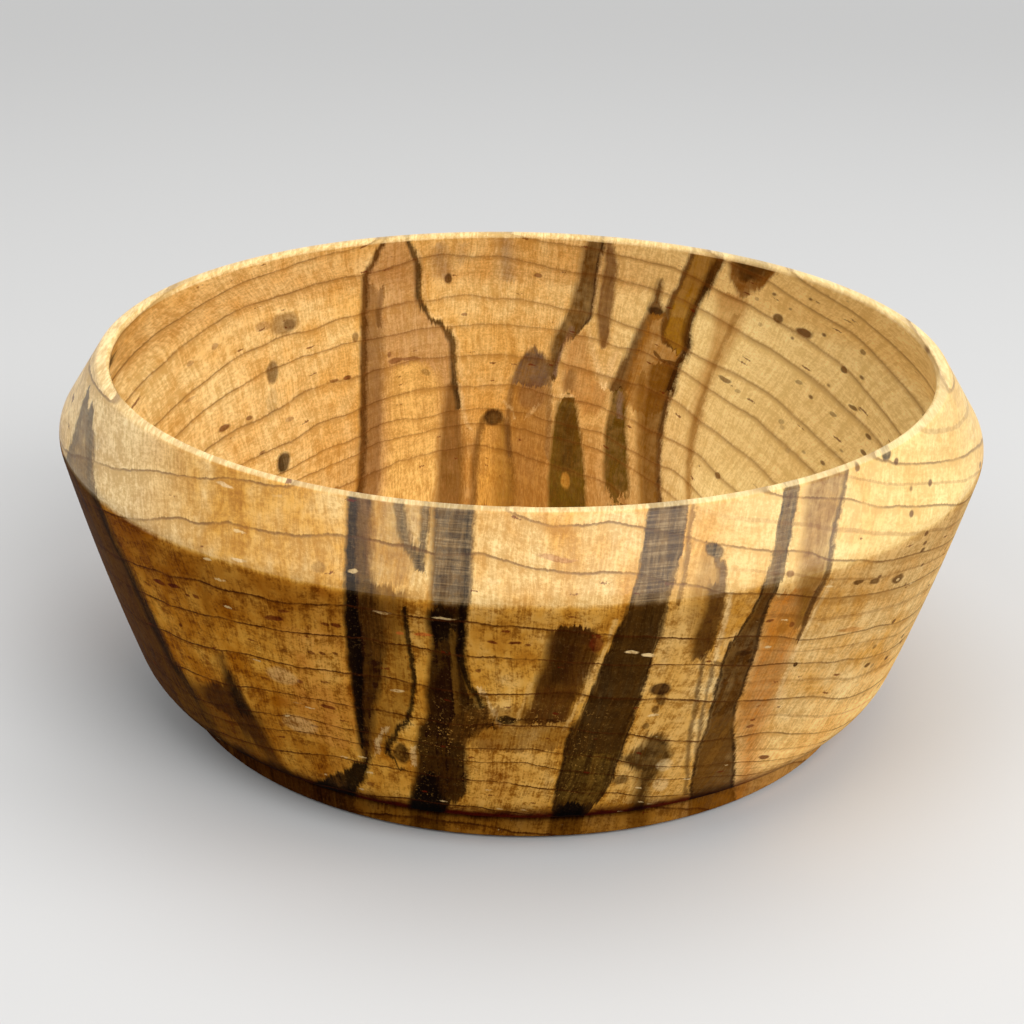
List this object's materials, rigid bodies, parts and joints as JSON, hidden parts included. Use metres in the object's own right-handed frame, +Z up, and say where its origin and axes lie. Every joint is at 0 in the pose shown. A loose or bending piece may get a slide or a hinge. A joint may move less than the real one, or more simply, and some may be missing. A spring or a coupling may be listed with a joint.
{
  "type": "bead spinner",
  "caption": "Turned wooden bead spinner: a small bowl with an inward-leaning rim that spins on a ball bearing over a low round base, with a low finger knob inside.",
  "frame": {"origin": "centre of the cork pad's underside, on the turning axis, on the table", "axes": "+Z up along the turning axis; +Y along the wood's grain, away from the picture's viewer; +X to the viewer's right"},
  "size_m": [0.1462, 0.1462, 0.0564],
  "materials": {
    "bowl_wood": "satin wiped finish over streaked maple",
    "base_wood": "satin wiped finish over streaked maple",
    "knob_wood": "satin wiped finish over maple",
    "cork": "fine-grained agglomerated cork sheet",
    "brass": "turned",
    "cage_brass": "pressed",
    "bush_steel": "turned",
    "bearing_steel": "ground and polished",
    "ball_steel": "polished",
    "shield_steel": "pressed sheet",
    "zinc_plate": "zinc plated"
  },
  "bodies": {
    "base": {"cork_pad": "cork", "base": "base_wood", "threaded_insert": "brass", "pivot_bush": "bush_steel", "bearing_inner_ring": "bearing_steel", "clamp_washer": "zinc_plate", "pivot_screw": "zinc_plate"},
    "bowl": {"bowl": "bowl_wood", "spindle_knob": "knob_wood", "bearing_outer_ring": "bearing_steel", "lower_shield": "shield_steel", "upper_shield": "shield_steel"},
    "cage": {"ball_cage": "cage_brass", "bearing_ball_1": "ball_steel", "bearing_ball_2": "ball_steel", "bearing_ball_3": "ball_steel", "bearing_ball_4": "ball_steel", "bearing_ball_5": "ball_steel", "bearing_ball_6": "ball_steel", "bearing_ball_7": "ball_steel"}
  },
  "joints": [
    {"name": "bowl_spin", "type": "hinge", "parent": "base", "child": "bowl", "pos_m": [0, 0, 0.01274], "axis": [0, 0, 1], "continuous": true},
    {"name": "cage_spin", "type": "hinge", "parent": "base", "child": "cage", "pos_m": [0, 0, 0.01274], "axis": [0, 0, 1], "continuous": true}
  ],
  "couplings": [
    {"joint": "cage_spin", "follows": "bowl_spin", "ratio": 0.63}
  ]
}
